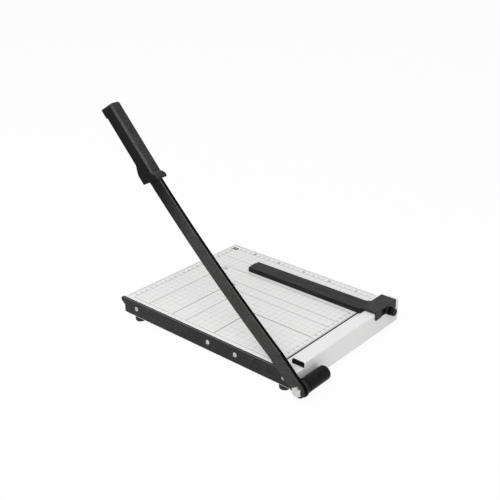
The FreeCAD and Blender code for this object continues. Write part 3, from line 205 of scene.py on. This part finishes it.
class Finish:
    """A Principled material with short ways to add the grain, speckle and wear of a real surface, and to
    paint light and shade into its colour.
    """

    def __init__(self, name, color, roughness, metallic=0.0, specular=0.5):
        self.material = bpy.data.materials.new(name)
        self.material.use_nodes = True
        self.tree = self.material.node_tree
        self.shader = self.tree.nodes["Principled BSDF"]
        self.shader.inputs["Base Color"].default_value = (*color, 1)
        self.shader.inputs["Roughness"].default_value = roughness
        self.shader.inputs["Metallic"].default_value = metallic
        self.shader.inputs["Specular IOR Level"].default_value = specular
        self.color = color
        self.roughness = roughness
        self.tint = None

    def node(self, kind, **inputs):
        """A new node with some of its sockets set."""
        made = self.tree.nodes.new(kind)
        for name, value in inputs.items():
            made.inputs[name].default_value = value
        return made

    def link(self, source, target):
        self.tree.links.new(source, target)

    def place(self, stretch=(1, 1, 1)):
        """Object coordinates, squeezed or drawn out along each axis."""
        coordinates = self.node("ShaderNodeTexCoord")
        mapping = self.node("ShaderNodeMapping", Scale=stretch)
        self.link(coordinates.outputs["Object"], mapping.inputs["Vector"])
        return mapping.outputs["Vector"]

    def noise(self, scale, detail=3.0, stretch=(1, 1, 1)):
        """Soft patches, scale of them to the metre."""
        made = self.node("ShaderNodeTexNoise", Scale=scale, Detail=detail, Roughness=NOISE_ROUGHNESS)
        self.link(self.place(stretch), made.inputs["Vector"])
        return made.outputs["Fac"]

    def spread(self, value, low, high, start=NOISE_LOW, end=NOISE_HIGH):
        """Turns a value that runs from start to end into one that runs from low to high."""
        made = self.node("ShaderNodeMapRange")
        made.inputs["From Min"].default_value = start
        made.inputs["From Max"].default_value = end
        made.inputs["To Min"].default_value = low
        made.inputs["To Max"].default_value = high
        self.link(value, made.inputs["Value"])
        return made.outputs["Result"]

    def tint_by(self, factor):
        """Multiplies the colour, as it stands so far, by a varying factor."""
        made = self.node("ShaderNodeVectorMath")
        made.operation = "SCALE"
        if self.tint is None:
            made.inputs[0].default_value = self.color
        else:
            self.link(self.tint, made.inputs[0])
        self.link(factor, made.inputs["Scale"])
        self.tint = made.outputs["Vector"]
        self.link(self.tint, self.shader.inputs["Base Color"])
        return self

    def mottle(self, scale, amount, stretch=(1, 1, 1)):
        """Lets the colour vary a little from place to place."""
        patches = self.noise(scale, detail=4.0, stretch=stretch)
        return self.tint_by(self.spread(patches, 1 - amount, 1 + amount))

    def fade(self, axis, start, end, low, high, ragged=0.0):
        """Changes the colour steadily along an axis, from a factor of low at start to high at end."""
        split = self.node("ShaderNodeSeparateXYZ")
        self.link(self.place(), split.inputs["Vector"])
        along = split.outputs[axis]
        if ragged:
            shift = self.node("ShaderNodeMath")
            shift.operation = "ADD"
            self.link(along, shift.inputs[0])
            self.link(self.spread(self.noise(RAGGED_SCALE), -ragged, ragged), shift.inputs[1])
            along = shift.outputs["Value"]
        return self.tint_by(self.spread(along, low, high, start, end))

    def facing(self, direction, start, end, low, high):
        """Changes the colour with the cosine of a direction, from a factor of low at start to high at end;
        here it paints light and shade by the way a face looks.
        """
        coordinates = self.node("ShaderNodeTexCoord")
        made = self.node("ShaderNodeVectorMath")
        made.operation = "DOT_PRODUCT"
        self.link(coordinates.outputs["Normal"], made.inputs[0])
        made.inputs[1].default_value = direction.normalized()
        return self.tint_by(self.spread(made.outputs["Value"], low, high, start, end))

    def uneven_gloss(self, scale, amount, stretch=(1, 1, 1)):
        """Lets the roughness vary from place to place."""
        patches = self.noise(scale, stretch=stretch)
        low = max(self.roughness - amount, LEAST_ROUGHNESS)
        high = min(self.roughness + amount, 1.0)
        self.link(self.spread(patches, low, high), self.shader.inputs["Roughness"])
        return self

    def relief(self, scale, height):
        """Fine surface relief, height in metres."""
        bump = self.node("ShaderNodeBump", Strength=1.0, Distance=height)
        self.link(self.noise(scale, detail=2.0), bump.inputs["Height"])
        self.link(bump.outputs["Normal"], self.shader.inputs["Normal"])
        return self


def make_metal_finishes():
    """Coated and bare steel, zinc and brass."""
    # Satin enamel, a little darker in a ragged strip behind the fixed blade
    enamel = Finish("bed_enamel", (0.86, 0.863, 0.856), roughness=0.42, specular=0.3)
    enamel.mottle(9, 0.012).mottle(900, 0.012).uneven_gloss(60, 0.06).relief(2200, 0.01 * MM)
    enamel.fade("Y", blade_high.y, blade_high.y + DARK_STRIP_DEPTH, 0.9, 1.0, ragged=DARK_STRIP_RAGGED)

    # Speckled black coat of the fixed blade, rubbed paler towards its left end
    rail = Finish("rail_black", (0.026, 0.026, 0.0255), roughness=0.5, specular=0.10)
    rail.mottle(520, 0.55).mottle(40, 0.08).uneven_gloss(90, 0.08).relief(700, 0.05 * MM)
    rail.fade("X", blade_low.x, blade_low.x + RAIL_RUBBED, 1.3, 0.9)

    # Bare steel of the honed land, ground along the edge
    edge = Finish("ground_edge", (0.12, 0.12, 0.12), roughness=0.35, metallic=0.9)
    edge.uneven_gloss(400, 0.1, (1, 12, 12)).mottle(200, 0.2, (1, 8, 8))

    # Speckled black coat of the arm, darkest beside the handle: painted shade
    arm = Finish("arm_black", (0.042, 0.042, 0.041), roughness=0.5, specular=0.10)
    arm.mottle(520, 0.6).mottle(40, 0.08).uneven_gloss(110, 0.08).relief(700, 0.06 * MM)
    arm.fade("X", arm_low.x + ARM_SHADE_END[0], arm_low.x + ARM_SHADE_END[1], 0.08, 1.0)

    # The arm's upper edge, the same coat made a deeper black: painted shade
    arm_edge = Finish("arm_edge_painted_shade", (0.0045, 0.0045, 0.0045), roughness=0.5, specular=0.01)
    arm_edge.mottle(420, 0.5).uneven_gloss(120, 0.08)

    # The arm's upper bevel, lighter at its front side: a painted highlight
    bevel = Finish("arm_bevel_painted_highlight", (0.062, 0.062, 0.061), roughness=0.4, specular=0.1)
    bevel.mottle(260, 0.3).uneven_gloss(200, 0.1)
    bevel.fade("Y", arm_low.y + BEVEL_HIGHLIGHT_SPAN[0], arm_low.y + BEVEL_HIGHLIGHT_SPAN[1], 1.4, 0.1)

    # Black oxide
    bush = Finish("bush_black", (0.008, 0.008, 0.008), roughness=0.35, specular=0.08)
    bush.mottle(200, 0.2).uneven_gloss(200, 0.1)

    # Plated and plain small parts
    zinc = Finish("bright_zinc", (0.62, 0.62, 0.61), roughness=0.3, metallic=1.0)
    zinc.mottle(300, 0.1).uneven_gloss(500, 0.1)

    bolt = Finish("bolt_steel", (0.60, 0.60, 0.59), roughness=0.3, metallic=1.0)
    bolt.mottle(250, 0.12).uneven_gloss(400, 0.1).relief(900, 0.01 * MM)

    spring = Finish("spring_steel", (0.42, 0.42, 0.42), roughness=0.35, metallic=1.0)
    spring.mottle(300, 0.1).uneven_gloss(400, 0.1)

    brass = Finish("brass", (0.70, 0.52, 0.24), roughness=0.3, metallic=1.0)
    brass.mottle(300, 0.1).uneven_gloss(400, 0.1)
    return {
        "bed_enamel": enamel, "rail_black": rail, "ground_edge": edge, "arm_black": arm,
        "arm_edge_painted_shade": arm_edge, "arm_bevel_painted_highlight": bevel, "bush_black": bush,
        "bright_zinc": zinc, "bolt_steel": bolt, "spring_steel": spring, "brass": brass,
    }


def make_plastic_finishes():
    """Mouldings and rubber."""
    # Handle: painted light on the faces that look up, a painted highlight on its slanted front and painted
    # shade towards its back
    grip = Finish("grip_plastic", (0.0055, 0.0055, 0.0055), roughness=0.34, specular=0.06)
    grip.mottle(50, 0.15).mottle(560, 0.5).uneven_gloss(70, 0.06).relief(1300, 0.03 * MM)
    grip.facing(ARM_UP, 0.17, 0.6, 1.0, 7.5).facing(GRIP_HIGHLIGHT_SLANT, 0.8, 0.97, 1.0, 1.75)
    grip.fade("Y", grip_high.y - GRIP_SHADE_BACK[0], grip_high.y - GRIP_SHADE_BACK[1], 1.0, 0.7)

    # Gauge's bar: fine streaks along it, and paler on top with painted light
    gauge = Finish("gauge_plastic", (0.010, 0.010, 0.010), roughness=0.4, specular=0.08)
    gauge.mottle(190, 0.3, (0.05, 1, 1)).mottle(420, 0.55, (0.06, 1, 1))
    gauge.uneven_gloss(80, 0.07).relief(1600, 0.02 * MM).facing(UP, 0.7, 0.98, 1.75, 2.1)

    # Gauge's head, greyer than the bar
    head = Finish("gauge_head_plastic", (0.038, 0.038, 0.038), roughness=0.42, specular=0.08)
    head.mottle(60, 0.12).mottle(420, 0.25).uneven_gloss(80, 0.07).relief(900, 0.04 * MM)

    # Rims of the bar, paler: a painted highlight
    gauge_edge = Finish("gauge_rim_painted_highlight", (0.065, 0.065, 0.065), roughness=0.45, specular=0.05)
    gauge_edge.mottle(200, 0.25)

    # Knob, and painted shade for the recess and boss behind it
    knob = Finish("knob_plastic", (0.005, 0.005, 0.005), roughness=0.32, specular=0.15)
    knob.mottle(200, 0.2).uneven_gloss(90, 0.06).relief(1600, 0.015 * MM)

    recess = Finish("recess_painted_shade", (0.004, 0.004, 0.004), roughness=0.5, specular=0.03)
    recess.mottle(260, 0.4).uneven_gloss(90, 0.06)

    # Spring cover and the plugs of the folded fence
    cover = Finish("cover_plastic", (0.009, 0.009, 0.009), roughness=0.3, specular=0.06)
    cover.mottle(120, 0.15).uneven_gloss(60, 0.06).relief(900, 0.01 * MM)

    plug = Finish("plug_plastic", (0.008, 0.008, 0.008), roughness=0.45, specular=0.04)
    plug.mottle(150, 0.2).uneven_gloss(80, 0.06)

    # Feet and the clamp's pad
    rubber = Finish("foot_rubber", (0.042, 0.042, 0.042), roughness=0.75, specular=0.1)
    rubber.mottle(120, 0.2).relief(1500, 0.03 * MM)

    pad = Finish("pad_rubber", (0.02, 0.02, 0.02), roughness=0.8, specular=0.3)
    pad.mottle(200, 0.2).relief(2000, 0.02 * MM)
    return {
        "grip_plastic": grip, "gauge_plastic": gauge, "gauge_head_plastic": head,
        "gauge_rim_painted_highlight": gauge_edge, "knob_plastic": knob, "recess_painted_shade": recess,
        "cover_plastic": cover, "plug_plastic": plug, "foot_rubber": rubber, "pad_rubber": pad,
    }


def make_inks():
    """Printing inks, each a little uneven where the film is thin."""
    inks = {}
    for name, grey, amount in INKS:
        inks[name] = Finish(name, (grey, grey, grey * INK_WARMTH), roughness=0.5, specular=0.2)
        inks[name].mottle(350, amount).uneven_gloss(150, 0.08)
    return inks


finishes = {**make_metal_finishes(), **make_plastic_finishes(), **make_inks()}


# ---------------------------------------------------------------- finishes on the CAD pieces


def dress(node, slot):
    """Gives a CAD node its finish."""
    mesh = nodes[node].data
    mesh.materials.clear()
    mesh.materials.append(finishes[slot].material)


def dress_faces(node, slot, wanted):
    """Gives the faces of a CAD node that pass a test (centre, normal) another finish."""
    mesh = nodes[node].data
    mesh.materials.append(finishes[slot].material)
    last = len(mesh.materials) - 1
    for face in mesh.polygons:
        if wanted(face.center, face.normal):
            face.material_index = last


def dress_nodes():
    """Gives every node the finish that its material slot in the record names."""
    for entry in frame["record"]["subparts"]:
        dress(entry["node"], entry["material_slot"])


def dress_blade():
    """The honed land along the fixed blade's cutting edge."""

    def honed(centre, normal):
        return normal.y < HONED_FRONT and normal.z > HONED_UP

    dress_faces("fixed_blade", "ground_edge", honed)


def dress_arm():
    """The arm's upper edge, darkened with painted shade, and the bevel beside it, lightened with a painted
    highlight.
    """

    def upper_edge(centre, normal):
        return abs(normal.y) < ARM_EDGE_ASIDE and normal.dot(ARM_UP) > ARM_EDGE_LEAST_UP

    def bevel(centre, normal):
        return normal.y < ARM_BEVEL_FRONT and ARM_BEVEL_UP[0] < normal.dot(ARM_UP) < ARM_BEVEL_UP[1]

    dress_faces("blade_arm", "arm_edge_painted_shade", upper_edge)
    dress_faces("blade_arm", "arm_bevel_painted_highlight", bevel)


def dress_gauge():
    """The greyer head, the recess and boss round the clamp darkened with painted shade, and the bar's rims
    lightened with a painted highlight.
    """
    head_foot = fence - HEAD_REACH
    bar_top = bed_top + BAR_HEIGHT
    lug_face = bed_high.x + LUG_FACE_OUT

    def head(centre, normal):
        return centre.x > head_foot

    def recess(centre, normal):
        sunk = lug_face - RECESS_SEARCH < centre.x < lug_face - FACE_SLACK
        return (sunk and normal.x > RECESS_OUTWARD) or centre.x > lug_face + FACE_SLACK

    def rim(centre, normal):
        slanted = RIM_UP[0] < normal.z < RIM_UP[1] and abs(normal.x) < RIM_ASIDE
        return slanted and centre.x < head_foot and centre.z > bar_top - RIM_DEPTH

    dress_faces("paper_gauge", "gauge_head_plastic", head)
    dress_faces("paper_gauge", "recess_painted_shade", recess)
    dress_faces("paper_gauge", "gauge_rim_painted_highlight", rim)


# ---------------------------------------------------------------- printed bed


class Print:
    """Ink on the bed, drawn as a thin film.

    Places across run left from the fence, and places along run back from the scales' zero.
    """

    def __init__(self, name, slot, lift):
        self.name = name
        self.slot = slot
        self.height = bed_top + lift
        self.thickness = lift + INK_BITE
        self.shapes = bmesh.new()

    def strip(self, across_1, across_2, along_1, along_2):
        """A filled rectangle."""
        x = fence - (across_1 + across_2) / 2
        y = print_zero + (along_1 + along_2) / 2
        middle = Vector((x, y, self.height))
        size = Vector((abs(across_2 - across_1), abs(along_2 - along_1), 1, 1))
        bmesh.ops.create_grid(
            self.shapes, x_segments=1, y_segments=1, size=0.5,
            matrix=Matrix.Translation(middle) @ Matrix.Diagonal(size))

    def line_along(self, across, start, end, width):
        """A line from front to rear."""
        self.strip(across - width / 2, across + width / 2, start, end)

    def line_across(self, along, start, end, width):
        """A line from the fence side to the left."""
        self.strip(start, end, along - width / 2, along + width / 2)

    def words(self, text, across, along, style):
        """A number, centred on its place. style holds its size, its turn anticlockwise and its thickening."""
        size, turn, weight = style
        curve = bpy.data.curves.new("number", "FONT")
        curve.body = text
        curve.size = size
        curve.offset = weight
        curve.align_x = "CENTER"
        curve.align_y = "CENTER"
        curve.resolution_u = CURVE_STEPS
        carrier = bpy.data.objects.new("number", curve)
        bpy.context.scene.collection.objects.link(carrier)
        bpy.context.view_layer.update()
        evaluated = carrier.evaluated_get(bpy.context.evaluated_depsgraph_get())
        mesh = bpy.data.meshes.new_from_object(evaluated)
        place = Matrix.Translation((fence - across, print_zero + along, self.height))
        mesh.transform(place @ Matrix.Rotation(math.radians(turn), 4, "Z"))
        self.shapes.from_mesh(mesh)
        bpy.data.objects.remove(carrier)
        bpy.data.meshes.remove(mesh)

    def finish(self):
        """Gives the film its thickness, downwards from the printed face."""
        bmesh.ops.remove_doubles(self.shapes, verts=self.shapes.verts, dist=MERGE_DISTANCE)
        bmesh.ops.recalc_face_normals(self.shapes, faces=self.shapes.faces)
        for face in self.shapes.faces:
            if face.normal.z < 0:
                face.normal_flip()
        bmesh.ops.solidify(self.shapes, geom=self.shapes.faces[:], thickness=self.thickness)
        mesh = bpy.data.meshes.new(self.name)
        self.shapes.to_mesh(mesh)
        self.shapes.free()
        mesh.materials.append(finishes[self.slot].material)
        made = bpy.data.objects.new(self.name, mesh)
        bpy.context.scene.collection.objects.link(made)
        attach(made, "base")


def print_grid():
    """Centimetre squares over the paper's area."""
    ink = Print("bed_grid", "grid_ink", INK_LIFT)
    across = GRID_START
    while across < left_inner:
        ink.line_along(across, front_line, rear_inner, GRID_WIDTH)
        across += CENTIMETRE
    along = GRID_START
    while along < rear_inner:
        ink.line_across(along, FENCE_RULE_FAR, left_inner, GRID_WIDTH)
        along += CENTIMETRE
    ink.finish()


def print_paper_sizes():
    """Nested outlines of the standard sheets, which share the corner of the fence and the scales' zero."""
    ink = Print("paper_size_lines", "size_ink", SIZE_LIFT)
    for sheet in PAPER_SIZES:
        short, long, short_width, long_width = (size * MM for size in sheet)
        if long < left_inner:
            ink.line_along(long, front_line, short, long_width)
        ink.line_across(short, FENCE_RULE_FAR, min(long, left_inner), short_width)
    ink.finish()


def tick_length(step):
    """Long at each centimetre, middling at each half and short at each millimetre."""
    if step % 10 == 0:
        return TICK_LONG
    if step % 5 == 0:
        return TICK_MIDDLE
    return TICK_SHORT


def print_rules():
    """Millimetre scales along the left, rear and fence sides, with numbers each centimetre."""
    ink = Print("bed_scales", "rule_ink", INK_LIFT)
    ink.line_along(left_inner, front_line, rear_inner, RULE_WIDTH)
    ink.line_across(rear_inner, FENCE_RULE_FAR, left_inner, RULE_WIDTH)
    ink.line_along(FENCE_RULE_FAR, front_line, rear_inner, HAIR_WIDTH)
    ink.line_across(front_line, FENCE_RULE_FAR, left_inner, FRONT_WIDTH)
    for step in TICKS_ALONG:
        along = step * MM
        if along > rear_outer:
            break
        ink.line_across(along, left_outer - tick_length(step), left_outer, HAIR_WIDTH)
        ink.line_across(along, FENCE_RULE_NEAR, FENCE_RULE_NEAR + tick_length(step), HAIR_WIDTH)
    for step in TICKS_ACROSS:
        ink.line_along(step * MM, rear_outer - tick_length(step), rear_outer, HAIR_WIDTH)
    for step in FIGURES_ALONG:
        ink.words(str(step), left_inner + SCALE_FIGURES_OFF, step * CENTIMETRE, LEFT_FIGURES)
        ink.words(str(step), FENCE_RULE_FAR - FENCE_FIGURES_OFF, step * CENTIMETRE, FENCE_FIGURES)
    for step in FIGURES_ACROSS:
        if step % BOLD_EVERY:
            ink.words(str(step), step * CENTIMETRE, rear_inner + SCALE_FIGURES_OFF, REAR_FIGURES)
    ink.finish()


def print_bold():
    """The heavy line beside the fence and the numbers that stand out."""
    ink = Print("bed_bold_print", "bold_ink", BOLD_LIFT)
    ink.line_along(
        HEAVY_LINE_OUT, bed_front + HEAVY_LINE_FRONT_IN, bed_depth - HEAVY_LINE_REAR_IN, HEAVY_WIDTH)
    for step in BOLD_FIGURES_ACROSS:
        ink.words(str(step), step * CENTIMETRE, rear_inner + REAR_BOLD_FIGURES_OFF, REAR_BOLD_FIGURES)
    ink.words(CORNER_TEXT, CORNER_ACROSS, rear_inner - CORNER_FIGURES_OFF, CORNER_FIGURES)
    for short, long, _, _ in PAPER_SIZES[:-1]:
        across = (long - SHEET_FIGURES_IN[0]) * MM
        along = (short - SHEET_FIGURES_IN[1]) * MM
        ink.words(str(long), across, along, SHEET_FIGURES)
    ink.finish()


# ---------------------------------------------------------------- studio


def seen_directly(tree):
    """One where a ray comes from the camera, a gloss or a clear piece, and nought where it only lights."""
    path = tree.nodes.new("ShaderNodeLightPath")
    seen = path.outputs["Is Camera Ray"]
    for ray in ("Is Glossy Ray", "Is Transmission Ray"):
        either = tree.nodes.new("ShaderNodeMath")
        either.operation = "MAXIMUM"
        tree.links.new(seen, either.inputs[0])
        tree.links.new(path.outputs[ray], either.inputs[1])
        seen = either.outputs["Value"]
    return seen


def whiten(material, share):
    """Mixes plain white into what is seen of a material, and leaves its light and shadows alone."""
    tree = material.node_tree
    output = tree.nodes["Material Output"]
    surface = output.inputs["Surface"].links[0].from_socket
    part = tree.nodes.new("ShaderNodeMath")
    part.operation = "MULTIPLY"
    part.inputs[1].default_value = share
    tree.links.new(seen_directly(tree), part.inputs[0])
    white = tree.nodes.new("ShaderNodeEmission")
    white.inputs["Color"].default_value = (1, 1, 1, 1)
    mix = tree.nodes.new("ShaderNodeMixShader")
    tree.links.new(part.outputs["Value"], mix.inputs["Fac"])
    tree.links.new(surface, mix.inputs[1])
    tree.links.new(white.outputs["Emission"], mix.inputs[2])
    tree.links.new(mix.outputs["Shader"], output.inputs["Surface"])


def make_floor():
    """A wide sheet of pale paper."""
    shape = bmesh.new()
    bmesh.ops.create_grid(shape, x_segments=1, y_segments=1, size=FLOOR_HALF)
    mesh = bpy.data.meshes.new("floor")
    shape.to_mesh(mesh)
    shape.free()
    floor = bpy.data.objects.new("floor", mesh)
    bpy.context.scene.collection.objects.link(floor)
    paper = Finish("studio_paper", (0.92, 0.92, 0.92), roughness=0.9, specular=0.2)
    whiten(paper.material, FLOOR_WHITE)
    mesh.materials.append(paper.material)


def make_world():
    """Even white surroundings: full white where they are seen, softer as a light."""
    world = bpy.data.worlds.new("studio")
    bpy.context.scene.world = world
    world.use_nodes = True
    tree = world.node_tree
    light = tree.nodes["Background"]
    light.inputs["Color"].default_value = (1, 1, 1, 1)
    light.inputs["Strength"].default_value = SURROUND_LIGHT
    white = tree.nodes.new("ShaderNodeBackground")
    white.inputs["Color"].default_value = (1, 1, 1, 1)
    white.inputs["Strength"].default_value = 1.0
    mix = tree.nodes.new("ShaderNodeMixShader")
    tree.links.new(seen_directly(tree), mix.inputs["Fac"])
    tree.links.new(light.outputs["Background"], mix.inputs[1])
    tree.links.new(white.outputs["Background"], mix.inputs[2])
    tree.links.new(mix.outputs["Shader"], tree.nodes["World Output"].inputs["Surface"])


def make_lights():
    """Two square soft boxes."""
    for name, place, side, power in SOFT_BOXES:
        lamp = bpy.data.lights.new(name, "AREA")
        lamp.shape = "SQUARE"
        lamp.size = side
        lamp.energy = power
        carrier = bpy.data.objects.new(name, lamp)
        bpy.context.scene.collection.objects.link(carrier)
        carrier.location = place
        carrier.rotation_euler = (SOFT_BOX_AIM - place).to_track_quat("-Z", "Y").to_euler()


def make_camera():
    """The camera, in front of the cutter, to its right and above."""
    data = bpy.data.cameras.new("camera")
    data.lens = CAMERA_LENS
    data.sensor_width = CAMERA_FILM
    data.clip_start = CAMERA_NEAR
    camera = bpy.data.objects.new("camera", data)
    bpy.context.scene.collection.objects.link(camera)
    camera.location = Vector((bed_middle, bed_low.y, bed_top)) + CAMERA_STAND
    camera.rotation_euler = (math.radians(90 - CAMERA_ELEVATION), 0, math.radians(CAMERA_AZIMUTH))
    bpy.context.scene.camera = camera


dress_nodes()
dress_blade()
dress_arm()
dress_gauge()
print_grid()
print_paper_sizes()
print_rules()
print_bold()
make_floor()
make_world()
make_lights()
make_camera()
bpy.context.scene.view_settings.view_transform = "Standard"
